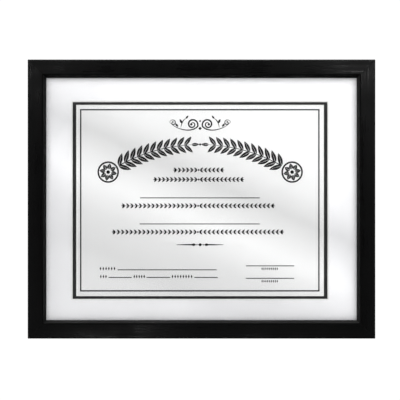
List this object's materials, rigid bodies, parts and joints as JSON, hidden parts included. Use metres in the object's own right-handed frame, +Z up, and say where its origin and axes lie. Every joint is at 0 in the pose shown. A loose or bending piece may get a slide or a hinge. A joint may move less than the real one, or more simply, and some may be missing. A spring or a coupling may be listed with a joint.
{
  "type": "certificate frame",
  "caption": "Black wooden wall frame with glass, a white and black double mat, a landscape certificate, turn-button back and sawtooth hangers.",
  "frame": {"origin": "the middle notch of the landscape hanger, in the plane of the hanger's outer face, where the wall nail carries the frame", "axes": "+Z up the frame's height, +X to the viewer's right along its length, +Y back to the wall, so the front faces -Y"},
  "size_m": [0.387, 0.02, 0.3108],
  "materials": {
    "black_wood": "satin black stain with faint grain",
    "clear_glass": "clear picture glass",
    "white_mat": "smooth white mat board with a white bevel",
    "black_mat": "matt black mat board with a white core",
    "certificate_paper": "white certificate paper printed in black",
    "foam_board": "white foam-cored board",
    "hardboard": "brown hardboard, smooth side out",
    "zinc_steel": "pressed steel, bright zinc plated",
    "bare_steel": "thin sprung steel, unplated"
  },
  "bodies": {
    "frame": {"top_rail": "black_wood", "right_rail": "black_wood", "bottom_rail": "black_wood", "left_rail": "black_wood", "corner_nails_top_left": "bare_steel", "corner_nails_top_right": "bare_steel", "corner_nails_bottom_left": "bare_steel", "corner_nails_bottom_right": "bare_steel", "glazing": "clear_glass", "mat_top": "white_mat", "mat_under": "black_mat", "certificate": "certificate_paper", "mount_board": "foam_board", "backing_board": "hardboard", "landscape_hanger": "zinc_steel", "landscape_hanger_nails": "zinc_steel", "portrait_hanger": "zinc_steel", "portrait_hanger_nails": "zinc_steel", "top_button_screws": "zinc_steel", "right_button_screws": "zinc_steel", "bottom_button_screws": "zinc_steel", "left_button_screws": "zinc_steel"},
    "button_top_left": {"turn_button_top_left": "zinc_steel"},
    "button_top_right": {"turn_button_top_right": "zinc_steel"},
    "button_right_upper": {"turn_button_right_upper": "zinc_steel"},
    "button_right_lower": {"turn_button_right_lower": "zinc_steel"},
    "button_bottom_right": {"turn_button_bottom_right": "zinc_steel"},
    "button_bottom_left": {"turn_button_bottom_left": "zinc_steel"},
    "button_left_lower": {"turn_button_left_lower": "zinc_steel"},
    "button_left_upper": {"turn_button_left_upper": "zinc_steel"}
  },
  "joints": [
    {"name": "button_top_left_turn", "type": "hinge", "parent": "frame", "child": "button_top_left", "pos_m": [-0.10449, -0.0027, 0.00331], "axis": [0, 1, 0], "continuous": true},
    {"name": "button_top_right_turn", "type": "hinge", "parent": "frame", "child": "button_top_right", "pos_m": [0.10449, -0.0027, 0.00331], "axis": [0, 1, 0], "continuous": true},
    {"name": "button_right_upper_turn", "type": "hinge", "parent": "frame", "child": "button_right_upper", "pos_m": [0.18715, -0.0027, -0.06183], "axis": [0, 1, 0], "continuous": true},
    {"name": "button_right_lower_turn", "type": "hinge", "parent": "frame", "child": "button_right_lower", "pos_m": [0.18715, -0.0027, -0.22967], "axis": [0, 1, 0], "continuous": true},
    {"name": "button_bottom_right_turn", "type": "hinge", "parent": "frame", "child": "button_bottom_right", "pos_m": [0.10449, -0.0027, -0.2948], "axis": [0, 1, 0], "continuous": true},
    {"name": "button_bottom_left_turn", "type": "hinge", "parent": "frame", "child": "button_bottom_left", "pos_m": [-0.10449, -0.0027, -0.2948], "axis": [0, 1, 0], "continuous": true},
    {"name": "button_left_lower_turn", "type": "hinge", "parent": "frame", "child": "button_left_lower", "pos_m": [-0.18715, -0.0027, -0.22967], "axis": [0, 1, 0], "continuous": true},
    {"name": "button_left_upper_turn", "type": "hinge", "parent": "frame", "child": "button_left_upper", "pos_m": [-0.18715, -0.0027, -0.06183], "axis": [0, 1, 0], "continuous": true}
  ]
}
